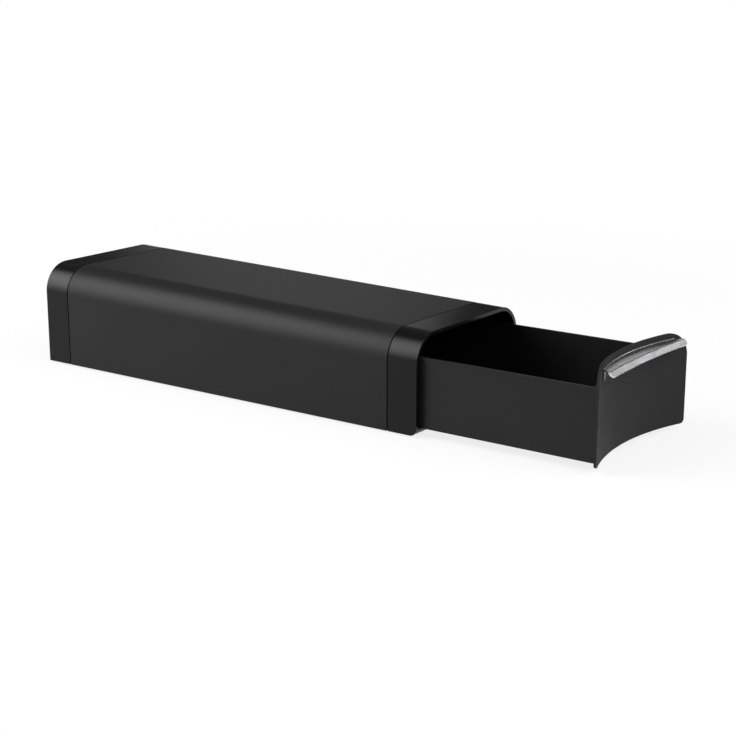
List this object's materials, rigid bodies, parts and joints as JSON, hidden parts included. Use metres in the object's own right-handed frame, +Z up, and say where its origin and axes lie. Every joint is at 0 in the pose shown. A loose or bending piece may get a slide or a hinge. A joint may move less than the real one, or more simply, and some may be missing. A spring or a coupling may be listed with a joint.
{
  "type": "coffee pod drawer",
  "caption": "Slim countertop case with a rounded, gently sloping top and a sliding drawer for coffee pods, with a concave front panel and a satin metal pull.",
  "frame": {"origin": "on the table, at the middle of the bounding box of the object as stored, with the drawer partly open", "axes": "+Z up from the table, +Y from the drawer's front to the back of the case, +X across to the right as seen from the front"},
  "size_m": [0.125, 0.4754, 0.0757],
  "materials": {
    "sleeve_paint": "matte",
    "band_gloss": "satin-gloss",
    "back_plastic": "fine texture",
    "base_paint": "matte",
    "screw_steel": "blackened zinc",
    "runner_nylon": "smooth moulded",
    "zinc_steel": "zinc plated",
    "rubber": "matte",
    "tub_plastic": "satin moulded",
    "panel_plastic": "satin",
    "handle_metal": "brushed satin",
    "rivet_aluminium": "plain",
    "tray_plastic": "fine texture",
    "ring_rubber": "soft matte"
  },
  "bodies": {
    "case": {"sleeve": "sleeve_paint", "front_band": "band_gloss", "rear_band": "band_gloss", "rear_panel": "back_plastic", "rear_screws": "screw_steel", "base_plate": "base_paint", "base_screws": "screw_steel", "left_runner": "runner_nylon", "right_runner": "runner_nylon", "drawer_stop": "zinc_steel", "bumpers": "rubber", "feet": "rubber"},
    "drawer": {"drawer_tub": "tub_plastic", "front_panel": "panel_plastic", "panel_screws": "screw_steel", "handle": "handle_metal", "handle_screws": "screw_steel", "stop_catch": "zinc_steel", "catch_rivets": "rivet_aluminium", "pod_tray": "tray_plastic", "seat_rings": "ring_rubber"}
  },
  "joints": [
    {"name": "drawer_slide", "type": "slide", "parent": "case", "child": "drawer", "axis": [0, -1, 0], "range_m": [-0.1165, 0.155]}
  ]
}
